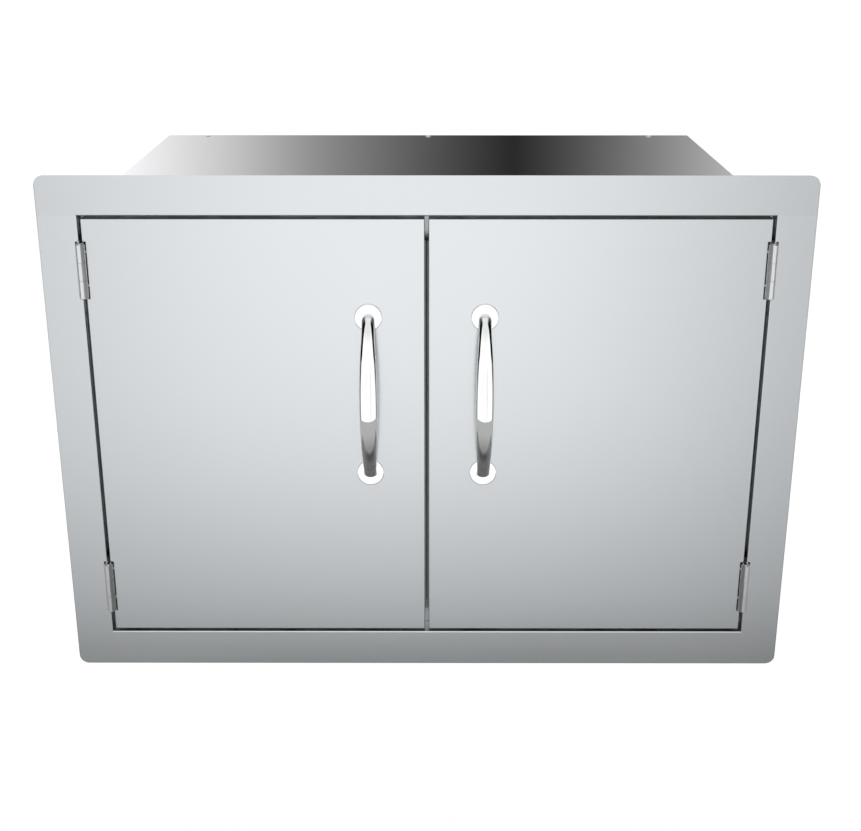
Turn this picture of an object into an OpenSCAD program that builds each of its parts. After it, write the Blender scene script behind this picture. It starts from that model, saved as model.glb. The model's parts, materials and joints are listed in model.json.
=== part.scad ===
// Built-in double door dry storage pantry for an outdoor kitchen island, in millimetres.
// The origin is the centre of the flange's back face: X runs right, Y into the island, Z up.

/* [Cabinet] */
// Width of the box behind the flange
box_w = 685.8; // [560:0.1:900]
// Height of the box behind the flange
box_h = 457.2; // [430:0.1:700]
// Depth from the front face of the flange to the back of the box
overall_d = 533.4; // [300:0.1:700]
// How far the flange stands out past the box on every side
flange_w = 38.1; // [20:0.1:60]
// Radius of the flange's outer corners
flange_corner_r = 10; // [2:0.5:15]
// Thickness of the frame and box sheet
sheet_t = 1.2; // [0.9:0.1:1.5]
// Outside radius of the bend round the door opening
opening_bend_r = 1.2; // [1:0.1:2]
// Width of the stop lip that the doors close against
stop_w = 16; // [15:0.5:24]
// Width of the folded edges that join the box panels
fold_w = 14; // [10:0.5:15]
// Distance of the island fixing holes behind the flange
fixing_y = 45; // [40:1:60]
// Height between the two island fixing holes on each side
fixing_span = 240; // [120:1:320]
// Radius of the island fixing holes
fixing_r = 2.5; // [1.5:0.1:4]

/* [Box rivets] */
// Distance from the box sides to the outer rivets along the rear edge
rear_rivet_end = 52.4; // [20:0.1:90]
// Distance from the box top and bottom to the rear rivets on its sides
side_rivet_end = 88.6; // [40:0.1:120]
// Distance of the rear rivets from the back face
rear_rivet_inset = 9; // [6:0.5:9.5]
// Radius of the rivet shanks
box_rivet_r = 1.6; // [1:0.1:2]
// Radius of the rivet heads
box_rivet_head_r = 3.2; // [2.6:0.1:4]
// Height of the rivet heads
box_rivet_head_h = 1.2; // [0.6:0.1:2]

/* [Doors] */
// Thickness of each double walled door
door_t = 20; // [19:0.5:30]
// Gap between the doors and the frame
door_gap = 3.2; // [3.1:0.1:4.5]
// Gap between the two doors
centre_gap = 4.2; // [4.2:0.1:8]
// Thickness of the door's outer sheet
skin_t = 1.2; // [0.9:0.1:1.4]
// Thickness of the door's inner sheet
liner_t = 0.9; // [0.6:0.1:1.4]
// Depth of the inner sheet's folded edges
liner_fold = 6; // [3:0.5:7]
// Outside radius of the bend round the door's front edges
door_bend_r = 1; // [0.8:0.1:2]
// Width of the flat of the stiffener behind the handle
stiffener_w = 40; // [30:1:60]
// Width of each foot of the stiffener
stiffener_foot_w = 12; // [6:1:20]
// Distance from the stiffener's ends to the door's ends
stiffener_inset = 24; // [20:1:60]

/* [Seals] */
// Thickness of the frame seal
gasket_t = 5.7; // [4.5:0.1:9]
// Thickness of the frame seal's foot
gasket_foot_t = 1.9; // [1:0.1:3]
// Width of the frame seal's foot
gasket_w = 10; // [7:0.5:11]
// Width of the frame seal's face
gasket_face_w = 6; // [3:0.5:7]
// Distance from the jamb to the frame seal
gasket_inset = 4.2; // [4:0.1:5]
// Thickness of the seal strip on each door's meeting edge
meeting_seal_t = 1.6; // [0.8:0.1:1.6]
// Depth of the meeting seal strips from front to back
meeting_seal_d = 10; // [5:0.5:12]
// Distance of the meeting seal strips behind the front face
meeting_seal_y = 5.2; // [2:0.1:6.5]
// Distance from the door's ends to the meeting seal strips
meeting_seal_end = 26.2; // [26.2:0.1:80]

/* [Hinges] */
// Length of each hinge barrel
hinge_l = 54; // [45:1:70]
// Distance from the top and bottom of the opening to the middle of each hinge
hinge_end = 54.4; // [52:0.1:100]
// Outside radius of the hinge barrel
knuckle_r = 4.7; // [4.3:0.1:5]
// Radius of the hinge pin
pin_r = 3.25; // [2:0.05:3.4]
// How far the pin's axis stands in front of the doors
pin_proud = 3.5; // [3:0.1:4.5]
// Thickness of the hinge leaves
leaf_t = 1.4; // [1:0.1:1.4]
// How far the hinge leaves reach behind the front face
leaf_reach = 17; // [15:0.5:18]
// Distance of the leaf rivets above and below the hinge's middle
leaf_rivet_z = 17; // [12:0.5:18]
// Distance of the leaf rivets behind the front face
leaf_rivet_y = 9.5; // [8.5:0.5:10]
// Radius of the leaf rivets
leaf_rivet_r = 1.7; // [1:0.1:2]
// Radius of the leaf rivets' heads
leaf_rivet_head_r = 3; // [2.6:0.1:3]
// How far the pin stands above its barrel
pin_tip = 1.4; // [0.6:0.1:2]

/* [Handles] */
// Distance from the meeting edge of a door to its handle's middle
handle_inset = 56.3; // [45:0.1:90]
// Height of the handles' middle above the middle of the doors
handle_z = 42.3; // [0:0.1:60]
// Distance between the feet of a handle
handle_span = 166.2; // [120:0.1:200]
// How far the handle stands out from the door
handle_h = 35; // [32:0.5:60]
// Width of the bow at its middle
bow_mid_w = 18.4; // [14:0.1:24]
// Width that the bow tapers towards from its middle
bow_taper_w = 10.6; // [9:0.1:16]
// Width of the bow's flared feet on the discs
bow_foot_w = 14; // [10:0.1:18]
// Thickness of the bow at its middle
bow_mid_t = 9; // [6:0.5:14]
// Thickness of the bow at its ends
bow_end_t = 9.4; // [9:0.1:12]
// Radius of the spigots that hold the discs in place
spigot_r = 4; // [3.2:0.1:4.3]
// Radius of the discs under the handle's ends
rosette_r = 13.9; // [11:0.1:18]
// Thickness of the discs
rosette_h = 2.4; // [1.6:0.1:3.5]
// Radius of the discs' rounded edge
rosette_edge = 0.9; // [0.3:0.1:1.2]
// Radius of the handle screws
handle_screw_r = 1.95; // [1.5:0.05:2.5]
// How far the handle screws reach into the handle
handle_screw_in = 7; // [4:0.5:7]
// Radius of the plugged access holes in the door's inner sheet
access_r = 7; // [5:0.5:9]

/* [Catches] */
// Width of each catch plate
catch_w = 64; // [60:1:90]
// Height of each catch plate
catch_h = 26; // [24:0.5:30]
// Distance of the magnets and catch screws from the centre line
catch_x = 16; // [14:0.5:18]
// Width of each magnet and strike plate
magnet_w = 20; // [12:0.5:22]
// Height of each magnet and strike plate
magnet_h = 12; // [8:0.5:12]
// Thickness of the strike plates on the doors
strike_t = 1.2; // [0.8:0.1:1.6]
// Thickness of the catch plates
catch_t = 1.2; // [0.8:0.1:1.5]
// Radius of the catch and strike screws
catch_screw_r = 1.5; // [1:0.1:1.8]

/* [Shelf] */
// Height of the shelf's top above the middle of the box
shelf_z = 0; // [-80:1:80]
// Distance from the back of the flange to the front of the shelf
shelf_y = 60; // [50:1:120]
// Height of the shelf's folded edges
shelf_lip = 20; // [10:1:30]
// Sheet thickness of the shelf and its rails
shelf_t = 1.2; // [0.8:0.1:1.6]
// Gap between the shelf and the box sides
shelf_side_gap = 3; // [1:0.5:6]
// Gap between the shelf and the box back
shelf_back_gap = 5; // [1:0.5:10]
// Width of each shelf rail's ledge
rail_w = 20; // [12:1:30]
// Height of each shelf rail's upright
rail_h = 15; // [12:1:25]
// Distance from a shelf rail's ends to its end rivets
rail_rivet_inset = 30; // [15:1:60]

/* [Hidden] */

$fn = 48;
steel = "silver";
dark_steel = "gray";
bright = "whitesmoke";
black = "dimgray";

// Small amounts used everywhere
cut = 1;           // how far a cut runs past the face it leaves
fit = 0.1;         // gap between sheets or pins that sit in each other
move_gap = 0.3;    // gap between pieces that move past each other
pin_fit = 0.02;    // gap round a pin in the knuckles that hold it
pin_run = 0.06;    // gap round a pin in the knuckle that turns on it
fold_gap = 1.5;    // gap between the ends of folds that meet in a corner

// Frame and box
frame_w = box_w + 2 * flange_w;
frame_h = box_h + 2 * flange_w;
opening_w = box_w - 2 * sheet_t;
opening_h = box_h - 2 * sheet_t;
front_y = -sheet_t;
back_y = front_y + overall_d;
door_back_y = front_y + door_t;
stop_y = door_back_y + move_gap + gasket_t;
lip_back_y = stop_y + sheet_t;
side_x = box_w / 2;
inner_x = opening_w / 2;
inner_z = opening_h / 2;
rear_fold_y = back_y - sheet_t - fold_w;
rivet_row_y = back_y - rear_rivet_inset;
rear_rivet_x = side_x - rear_rivet_end;
side_rivet_z = box_h / 2 - side_rivet_end;
rivet_tail_r = box_rivet_r + 0.7;
rivet_tail_h = 2.2;
rivet_head_rim = 0.5;
rivet_crown_r = 1.8;

// Doors, drawn for the left side and mirrored for the right
door_in_x = centre_gap / 2;
door_out_x = inner_x - door_gap;
door_w = door_out_x - door_in_x;
door_x = -(door_in_x + door_out_x) / 2;
door_h = opening_h - 2 * door_gap;
skin_back_y = front_y + skin_t;
liner_y = door_back_y - liner_t;

// Hinges: three knuckles, the middle one on the door
axis_x = inner_x - door_gap / 2;
axis_y = front_y - pin_proud;
hinge_z = inner_z - hinge_end;
knuckle_l = (hinge_l - 2 * move_gap) / 3;
door_knuckle_z = knuckle_l / 2;
frame_knuckle_z = door_knuckle_z + move_gap;
notch_clear = 0.6;
notch_r = knuckle_r + notch_clear;
notch_h = hinge_l + 2 * pin_tip + 2 * notch_clear;
leaf_end_y = leaf_reach - axis_y + front_y;
rivet_local_y = leaf_rivet_y - axis_y + front_y;
sink_floor = 0.3;
sink_h = leaf_t - sink_floor;
leaf_tail_r = 2.8;
leaf_tail_h = 1.2;
pin_chamfer = 0.6;

// Handles
handle_x = door_in_x + handle_inset;
foot_z = [handle_z - handle_span / 2, handle_z + handle_span / 2];
washer_t = 0.8;
washer_r = 5;
screw_head_h = 2.4;
screw_head_r = 3.8;
plug_rim = 1.6;
plug_h = 1.2;
plug_body_l = 5;
edge_steps = 6;

// Catches
catch_y = stop_y - catch_t;
catch_top_gap = 0.6;
catch_top = inner_z - catch_top_gap;
magnet_edge = 0.2;
magnet_y = door_back_y + strike_t + move_gap;
magnet_z = catch_top - catch_h + magnet_edge + magnet_h / 2;
catch_screw_drop = 6.4;
catch_screw_z = catch_top - catch_screw_drop;
seal_end_gap = 1;
pan_head_r = 3;
pan_head_h = 1.6;
strike_head_r = 2.6;
strike_screw_l = 9;
strike_sink_floor = 0.2;
catch_screw_tail = 4;

// Shelf
shelf_half_w = inner_x - shelf_side_gap;
shelf_back_y = back_y - sheet_t - shelf_back_gap;
rail_top = shelf_z - shelf_lip;
rail_front_inset = 8;
rail_back_inset = 20;
rail_y0 = shelf_y + rail_front_inset;
rail_y1 = shelf_back_y - rail_back_inset;
rail_rivet_z = rail_top - shelf_t - (rail_h - shelf_t) / 2;

// A box between two corners
module block(low, high) {
  translate(low) cube(high - low);
}

// A block centred on x and z, from y0 to y1
module wall(w, h, y0, y1) {
  block([-w / 2, y0, -h / 2], [w / 2, y1, h / 2]);
}

// A flat plate across the front, with round corners
module round_plate(w, h, r, y0, y1) {
  translate([0, y1, 0]) rotate([90, 0, 0]) linear_extrude(y1 - y0) {
    square([w - 2 * r, h], center = true);
    square([w, h - 2 * r], center = true);
    for (sx = [-1, 1], sy = [-1, 1])
      translate([sx * (w / 2 - r), sy * (h / 2 - r)]) circle(r);
  }
}

// A section of width w whose two front corners are round
module rounded_section(w, y0, y1, r) {
  translate([-w / 2, y0 + r]) square([w, y1 - y0 - r]);
  translate([-w / 2 + r, y0]) square([w - 2 * r, r + cut / 2]);
  for (s = [-1, 1]) translate([s * (w / 2 - r), y0 + r]) circle(r);
}

// A section of width w that flares round its two front corners
module flared_section(w, y0, y1, r) {
  translate([-w / 2, y0]) square([w, y1 - y0]);
  difference() {
    translate([-w / 2 - r, y0 - cut]) square([w + 2 * r, r + cut]);
    for (s = [-1, 1]) translate([s * (w / 2 + r), y0 + r]) circle(r);
  }
}

// Sweeps a section upwards, or across with its width standing up
module swept_up(h) {
  translate([0, 0, -h / 2]) linear_extrude(h) children();
}

module swept_across(w) {
  rotate([0, -90, 0]) swept_up(w) children();
}

// A door sized block whose front edges are bent round
module bent_slab(w, h, y0, y1, r) {
  intersection() {
    swept_up(h) rounded_section(w, y0, y1, r);
    swept_across(w) rounded_section(h, y0, y1, r);
  }
}

// The space inside an opening whose front edges are bent round
module bent_opening(w, h, y0, y1, r) {
  intersection() {
    swept_up(h + 2 * (r + cut)) flared_section(w, y0, y1, r);
    swept_across(w + 2 * (r + cut)) flared_section(h, y0, y1, r);
  }
}

// Cylinders that run into the cabinet, or to the right, from a point
module rod_y(p, r, l) {
  translate(p) rotate([-90, 0, 0]) cylinder(r = r, h = l);
}

module rod_x(p, r, l) {
  translate(p) rotate([0, 90, 0]) cylinder(r = r, h = l);
}

// Repeats what is drawn at a left hinge at both heights
module at_left_hinges() {
  for (s = [-1, 1]) left_hinge(s) children();
}

module left_hinge(s) {
  translate([-axis_x, axis_y, s * hinge_z]) children();
}

module both_sides() {
  children();
  mirror([1, 0, 0]) children();
}

module top_and_bottom() {
  children();
  mirror([0, 0, 1]) children();
}

// The pocket in the sheet round a left hinge barrel, in the hinge's own place
module barrel_notch() {
  block([-notch_r, 0, -notch_h / 2], [notch_r, knuckle_r + notch_clear, notch_h / 2]);
}

// The two rivet holes of a left hinge leaf, along x
module leaf_rivet_holes(x0, l) {
  for (s = [-1, 1]) rod_x([x0, rivet_local_y, s * leaf_rivet_z], leaf_rivet_r + fit / 2, l);
}

// Front frame: flange, jamb and stop lip, folded from one sheet with welded corners
module front_frame() {
  color(steel) difference() {
    union() {
      round_plate(frame_w, frame_h, flange_corner_r, front_y, 0);
      wall(box_w, box_h, front_y, lip_back_y);
    }
    bent_opening(opening_w, opening_h, front_y, stop_y, opening_bend_r);
    wall(opening_w - 2 * stop_w, opening_h - 2 * stop_w, stop_y - cut, lip_back_y + cut);
    both_sides() at_left_hinges() {
      barrel_notch();
      leaf_rivet_holes(-door_gap / 2 - sheet_t - cut, sheet_t + 2 * cut);
    }
    top_and_bottom() catch_screw_holes(stop_y - cut, sheet_t + 2 * cut);
  }
}

module catch_screw_holes(y0, l) {
  for (s = [-1, 1]) rod_y([s * catch_x, y0, catch_screw_z], catch_screw_r + fit / 2, l);
}

// Top of the box, with a folded front edge behind the stop lip
module top_panel() {
  color(steel) difference() {
    union() {
      block([-side_x, lip_back_y, inner_z], [side_x, back_y, box_h / 2]);
      block([-inner_x + fit, lip_back_y, inner_z - fold_w],
        [inner_x - fit, lip_back_y + sheet_t, inner_z]);
    }
    for (i = [-1, 0, 1])
      translate([i * rear_rivet_x, rivet_row_y, inner_z - cut])
        cylinder(r = box_rivet_r + fit / 2, h = sheet_t + 2 * cut);
    catch_screw_holes(lip_back_y - cut, sheet_t + 2 * cut);
  }
}

module bottom_panel() {
  mirror([0, 0, 1]) top_panel();
}

// Side of the box: folded in at the front, top and bottom
module left_side_panel() {
  color(steel) difference() {
    union() {
      block([-side_x, lip_back_y, -inner_z], [-inner_x, back_y, inner_z]);
      block([-side_x, lip_back_y, fold_w + fold_gap - inner_z],
        [-inner_x + fold_w, lip_back_y + sheet_t, inner_z - fold_w - fold_gap]);
      top_and_bottom() block([-side_x, lip_back_y + sheet_t + fold_gap, inner_z - sheet_t],
        [-inner_x + fold_w, rear_fold_y - fold_gap, inner_z]);
    }
    for (s = [-1, 1]) {
      side_hole(rivet_row_y, s * side_rivet_z, box_rivet_r + fit / 2);
      side_hole(fixing_y, s * fixing_span / 2, fixing_r);
    }
    for (y = rail_rivet_ys()) side_hole(y, rail_rivet_z, box_rivet_r + fit / 2);
  }
}

module side_hole(y, z, r) {
  rod_x([-side_x - cut, y, z], r, sheet_t + 2 * cut);
}

module right_side_panel() {
  mirror([1, 0, 0]) left_side_panel();
}

// Back of the box: a pan whose folded edges lie inside the other panels
module back_panel() {
  color(steel) difference() {
    wall(opening_w - 2 * fit, opening_h - 2 * fit, rear_fold_y, back_y);
    wall(opening_w - 2 * fit - 2 * sheet_t, opening_h - 2 * fit - 2 * sheet_t,
      rear_fold_y - cut, back_y - sheet_t);
    for (i = [-1, 0, 1])
      translate([i * rear_rivet_x, rivet_row_y, 0])
        cylinder(r = box_rivet_r + fit / 2, h = box_h + 2 * cut, center = true);
    for (s = [-1, 1])
      rod_x([-side_x - cut, rivet_row_y, s * side_rivet_z], box_rivet_r + fit / 2,
        box_w + 2 * cut);
  }
}

// A blind rivet that stands on z = 0 and holds sheets of total thickness grip below it
module blind_rivet(grip) {
  rotate_extrude() polygon([
    [0, -grip - rivet_tail_h], [rivet_tail_r, -grip - rivet_tail_h], [rivet_tail_r, -grip],
    [box_rivet_r, -grip], [box_rivet_r, 0], [box_rivet_head_r, 0],
    [box_rivet_head_r, rivet_head_rim], [rivet_crown_r, box_rivet_head_h],
    [0, box_rivet_head_h],
  ]);
}

module back_panel_rivets() {
  grip = 2 * sheet_t + fit;
  color(dark_steel) {
    top_and_bottom() for (i = [-1, 0, 1])
      translate([i * rear_rivet_x, rivet_row_y, box_h / 2]) blind_rivet(grip);
    both_sides() for (s = [-1, 1])
      translate([-side_x, rivet_row_y, s * side_rivet_z]) rotate([0, -90, 0])
        blind_rivet(grip);
  }
}

// Half of the rubber seal on the stop lip, a C from catch plate to catch plate
module left_frame_gasket() {
  run_x = inner_x - gasket_inset - gasket_w / 2;
  run_z = inner_z - gasket_inset - gasket_w / 2;
  end_x = catch_w / 2 + seal_end_gap;
  color(black) {
    translate([-run_x, 0, 0]) swept_up(2 * run_z + gasket_w) gasket_section();
    top_and_bottom() translate([-(run_x + gasket_w / 2 + end_x) / 2, 0, run_z])
      swept_across(run_x + gasket_w / 2 - end_x) gasket_section();
  }
}

module gasket_section() {
  face_y = stop_y - gasket_t;
  polygon([
    [-gasket_w / 2, stop_y], [-gasket_w / 2, stop_y - gasket_foot_t],
    [-gasket_face_w / 2, face_y], [gasket_face_w / 2, face_y],
    [gasket_w / 2, stop_y - gasket_foot_t], [gasket_w / 2, stop_y],
  ]);
}

module right_frame_gasket() {
  mirror([1, 0, 0]) left_frame_gasket();
}

// Plate that carries the two magnets, screwed through the stop lip
module upper_catch_plate() {
  color(steel) difference() {
    block([-catch_w / 2, catch_y, catch_top - catch_h], [catch_w / 2, stop_y, catch_top]);
    catch_screw_holes(catch_y - cut, catch_t + 2 * cut);
  }
}

module lower_catch_plate() {
  mirror([0, 0, 1]) upper_catch_plate();
}

module catch_magnets() {
  color(black) both_sides() top_and_bottom()
    block([-catch_x - magnet_w / 2, magnet_y, magnet_z - magnet_h / 2],
      [-catch_x + magnet_w / 2, catch_y, magnet_z + magnet_h / 2]);
}

// Pan head screws through the catch plate, the stop lip and the panel's fold
module catch_screws() {
  l = catch_t + 2 * sheet_t + catch_screw_tail;
  color(dark_steel) both_sides() top_and_bottom() {
    rod_y([-catch_x, catch_y, catch_screw_z], catch_screw_r, l);
    rod_y([-catch_x, catch_y - pan_head_h, catch_screw_z], pan_head_r, pan_head_h);
  }
}

// Loose shelf, a tray turned upside down on the two rails
module shelf() {
  color(steel) difference() {
    block([-shelf_half_w, shelf_y, rail_top], [shelf_half_w, shelf_back_y, shelf_z]);
    block([-shelf_half_w + shelf_t, shelf_y + shelf_t, rail_top - cut],
      [shelf_half_w - shelf_t, shelf_back_y - shelf_t, shelf_z - shelf_t]);
  }
}

function rail_rivet_ys() =
  [rail_y0 + rail_rivet_inset, (rail_y0 + rail_y1) / 2, rail_y1 - rail_rivet_inset];

// Angle that carries one side of the shelf
module left_shelf_rail() {
  color(steel) difference() {
    union() {
      block([-inner_x, rail_y0, rail_top - rail_h], [-inner_x + shelf_t, rail_y1, rail_top]);
      block([-inner_x, rail_y0, rail_top - shelf_t], [-inner_x + rail_w, rail_y1, rail_top]);
    }
    for (y = rail_rivet_ys())
      rod_x([-inner_x - cut, y, rail_rivet_z], box_rivet_r + fit / 2, shelf_t + 2 * cut);
  }
}

module right_shelf_rail() {
  mirror([1, 0, 0]) left_shelf_rail();
}

module shelf_rail_rivets() {
  color(dark_steel) both_sides() for (y = rail_rivet_ys())
    translate([-side_x, y, rail_rivet_z]) rotate([0, -90, 0]) blind_rivet(sheet_t + shelf_t);
}

// Frame half of a left hinge: the two end knuckles
module frame_leaf() {
  color(steel) difference() {
    union() {
      block([-door_gap / 2, 0, -hinge_l / 2],
        [-door_gap / 2 + leaf_t, leaf_end_y, hinge_l / 2]);
      for (s = [-1, 1])
        translate([0, 0, s * (frame_knuckle_z + knuckle_l / 2)])
          cylinder(r = knuckle_r, h = knuckle_l, center = true);
    }
    block([-knuckle_r, -knuckle_r, -frame_knuckle_z],
      [knuckle_r, knuckle_r + move_gap + fit, frame_knuckle_z]);
    cylinder(r = pin_r + pin_fit, h = hinge_l + 2 * cut, center = true);
    leaf_rivet_holes(-door_gap / 2 - cut, leaf_t + 2 * cut);
    leaf_sinks(-door_gap / 2 + leaf_t, fit);
  }
}

// Door half of a left hinge: the middle knuckle
module door_leaf() {
  color(steel) difference() {
    union() {
      block([door_gap / 2 - leaf_t, 0, -hinge_l / 2],
        [door_gap / 2, leaf_end_y, hinge_l / 2]);
      cylinder(r = knuckle_r, h = knuckle_l, center = true);
    }
    top_and_bottom() block([-knuckle_r, -knuckle_r, door_knuckle_z],
      [knuckle_r, knuckle_r + move_gap + fit, hinge_l]);
    cylinder(r = pin_r + pin_run, h = hinge_l + 2 * cut, center = true);
    leaf_rivet_holes(door_gap / 2 - leaf_t - cut, leaf_t + 2 * cut);
    mirror([1, 0, 0]) leaf_sinks(-door_gap / 2 + leaf_t, fit);
  }
}

// Countersinks of a frame leaf, or the heads that fill them, from the leaf's face at x
module leaf_sinks(x, gap) {
  for (s = [-1, 1]) translate([x, rivet_local_y, s * leaf_rivet_z]) rotate([0, -90, 0])
    cylinder(r1 = leaf_rivet_head_r + gap, r2 = leaf_rivet_r + gap / 2, h = sink_h);
}

// Rivets of a left frame leaf, with flat tails behind a sheet of thickness t
module leaf_rivets(t) {
  face_x = -door_gap / 2 + leaf_t;
  back_x = -door_gap / 2 - t;
  color(dark_steel) {
    leaf_sinks(face_x, 0);
    for (s = [-1, 1]) {
      rod_x([back_x, rivet_local_y, s * leaf_rivet_z], leaf_rivet_r, face_x - back_x);
      rod_x([back_x - leaf_tail_h, rivet_local_y, s * leaf_rivet_z],
        leaf_tail_r, leaf_tail_h);
    }
  }
}

module hinge_pin() {
  top = hinge_l / 2 + pin_tip;
  color(dark_steel) rotate_extrude() polygon([
    [0, -top], [pin_r - pin_chamfer, -top], [pin_r, -top + pin_chamfer],
    [pin_r, top - pin_chamfer], [pin_r - pin_chamfer, top], [0, top],
  ]);
}

module frame_leaf_rivets() {
  both_sides() at_left_hinges() leaf_rivets(sheet_t);
}

// Outer sheet of a left door: a pan folded back on all four sides
module left_door_skin() {
  color(steel) difference() {
    translate([door_x, 0, 0]) bent_slab(door_w, door_h, front_y, door_back_y, door_bend_r);
    translate([door_x, 0, 0])
      wall(door_w - 2 * skin_t, door_h - 2 * skin_t, skin_back_y, door_back_y + cut);
    at_left_hinges() {
      barrel_notch();
      leaf_rivet_holes(door_gap / 2 - cut, skin_t + 2 * cut);
    }
    handle_holes(front_y - cut, handle_screw_r + fit, skin_t + 2 * cut);
  }
}

module handle_holes(y0, r, l) {
  for (z = foot_z) rod_y([-handle_x, y0, z], r, l);
}

// Inner sheet of a left door, folded forwards inside the skin
module left_door_liner() {
  w = door_w - 2 * skin_t - 2 * fit;
  h = door_h - 2 * skin_t - 2 * fit;
  color(steel) difference() {
    translate([door_x, 0, 0]) wall(w, h, door_back_y - liner_fold, door_back_y);
    translate([door_x, 0, 0])
      wall(w - 2 * liner_t, h - 2 * liner_t, door_back_y - liner_fold - cut, liner_y);
    handle_holes(liner_y - cut, access_r, liner_t + 2 * cut);
    strike_screw_holes(liner_y - cut, liner_t + 2 * cut);
  }
}

module strike_screw_holes(y0, l) {
  top_and_bottom() rod_y([-catch_x, y0, magnet_z], catch_screw_r + fit / 2, l);
}

// Hat channel that backs the handle inside a left door
module left_door_stiffener() {
  h = door_h - 2 * stiffener_inset;
  color(dark_steel) difference() {
    translate([-handle_x, 0, 0]) swept_up(h) {
      translate([-stiffener_w / 2, skin_back_y]) square([stiffener_w, skin_t]);
      for (s = [0, 1]) mirror([s, 0]) {
        translate([-stiffener_w / 2, skin_back_y]) square([skin_t, liner_y - skin_back_y]);
        translate([-stiffener_w / 2 - stiffener_foot_w + skin_t, liner_y - skin_t])
          square([stiffener_foot_w, skin_t]);
      }
    }
    handle_holes(skin_back_y - cut, handle_screw_r + fit, skin_t + 2 * cut);
  }
}

// Rubber strip on a left door's meeting edge
module left_door_meeting_seal() {
  y0 = front_y + meeting_seal_y;
  top = door_h / 2 - meeting_seal_end;
  color(black) block([-door_in_x, y0, -top],
    [-door_in_x + meeting_seal_t, y0 + meeting_seal_d, top]);
}

module left_door_leaf_rivets() {
  at_left_hinges() mirror([1, 0, 0]) leaf_rivets(skin_t);
}

module left_strike_plates() {
  color(dark_steel) difference() {
    top_and_bottom() block([-catch_x - magnet_w / 2, door_back_y, magnet_z - magnet_h / 2],
      [-catch_x + magnet_w / 2, door_back_y + strike_t, magnet_z + magnet_h / 2]);
    strike_screw_holes(door_back_y - cut, strike_t + 2 * cut);
    top_and_bottom() strike_head(fit);
  }
}

// Flush head of a strike plate's screw
module strike_head(gap) {
  translate([-catch_x, door_back_y + strike_t, magnet_z]) rotate([90, 0, 0])
    cylinder(r1 = strike_head_r + gap, r2 = catch_screw_r + gap / 2,
      h = strike_t - strike_sink_floor);
}

module left_strike_screws() {
  color(dark_steel) top_and_bottom() {
    strike_head(0);
    rod_y([-catch_x, door_back_y + strike_t - strike_screw_l, magnet_z],
      catch_screw_r, strike_screw_l);
  }
}

// The bow's outer and inner edges are flattened arcs that stand on the two discs
bow_rings = 36;
bow_sides = 20;
arc_flat = 2.4;
arc_end = 1.6;
foot_flare = 12;
bow_y = front_y - rosette_h;
bow_rise = handle_h - rosette_h;
spigot_sink = 1;
function arc_point(a, span, rise) =
  [0, -rise * pow(1 - pow(abs(sin(a)), arc_flat), 1 / arc_end), span / 2 * sin(a)];
function bow_half_w(a) =
  let (s = abs(sin(a)))
    (bow_mid_w + (bow_taper_w - bow_mid_w) * pow(s, 2)
      + (bow_foot_w - bow_taper_w) * pow(s, foot_flare)) / 2;
function bow_ring(a) =
  let (
    outer = arc_point(a, handle_span + bow_end_t, bow_rise),
    inner = arc_point(a, handle_span - bow_end_t, bow_rise - bow_mid_t)
  ) [
    for (i = [0 : bow_sides - 1])
      let (t = 360 * i / bow_sides)
        [-handle_x + bow_half_w(a) * cos(t), bow_y, handle_z]
          + (outer + inner) / 2 + (outer - inner) / 2 * sin(t)
  ];

// Polished bow of a left handle, with a spigot at each end
module left_handle_bow() {
  rings = [for (i = [0 : bow_rings]) bow_ring(180 * i / bow_rings - 90)];
  points = [for (ring = rings) each ring];
  last = len(rings) - 1;
  faces = [
    [for (i = [bow_sides - 1 : -1 : 0]) i],
    for (j = [0 : last - 1], i = [0 : bow_sides - 1])
      let (a = j * bow_sides + i, b = j * bow_sides + (i + 1) % bow_sides)
        [a, b, b + bow_sides, a + bow_sides],
    [for (i = [0 : bow_sides - 1]) last * bow_sides + i],
  ];
  color(bright) difference() {
    union() {
      polyhedron(points, faces, convexity = 4);
      for (z = foot_z)
        rod_y([-handle_x, bow_y - spigot_sink, z], spigot_r, rosette_h + spigot_sink);
    }
    handle_holes(front_y - handle_screw_in - cut, handle_screw_r + fit / 2,
      handle_screw_in + 2 * cut);
  }
}

// Flat discs between the handle's ends and the door
module left_handle_rosettes() {
  color(bright) for (z = foot_z) translate([-handle_x, front_y, z]) rotate([90, 0, 0])
    rotate_extrude() polygon([
      [spigot_r + fit, 0], [rosette_r, 0],
      for (i = [0 : edge_steps])
        let (a = 90 * i / edge_steps)
          [rosette_r, rosette_h] + rosette_edge * [cos(a) - 1, sin(a) - 1],
      [spigot_r + fit, rosette_h],
    ]);
}

module left_handle_screws() {
  head_y = skin_back_y + skin_t + washer_t;
  color(dark_steel) {
    handle_holes(front_y - handle_screw_in, handle_screw_r, handle_screw_in + head_y - front_y);
    handle_holes(head_y, screw_head_r, screw_head_h);
  }
}

module left_handle_washers() {
  y0 = skin_back_y + skin_t;
  color(dark_steel) difference() {
    handle_holes(y0, washer_r, washer_t);
    handle_holes(y0 - cut, handle_screw_r + fit, washer_t + 2 * cut);
  }
}

// Push-in plugs that close the access holes in the liner
module left_access_plugs() {
  color(black) {
    handle_holes(door_back_y - plug_body_l, access_r - fit, plug_body_l);
    handle_holes(door_back_y, access_r + plug_rim, plug_h);
  }
}

module left_upper_frame_leaf() { left_hinge(1) frame_leaf(); }
module left_lower_frame_leaf() { left_hinge(-1) frame_leaf(); }
module left_upper_hinge_pin() { left_hinge(1) hinge_pin(); }
module left_lower_hinge_pin() { left_hinge(-1) hinge_pin(); }
module left_upper_door_leaf() { left_hinge(1) door_leaf(); }
module left_lower_door_leaf() { left_hinge(-1) door_leaf(); }

module on_right() {
  mirror([1, 0, 0]) children();
}

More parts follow.
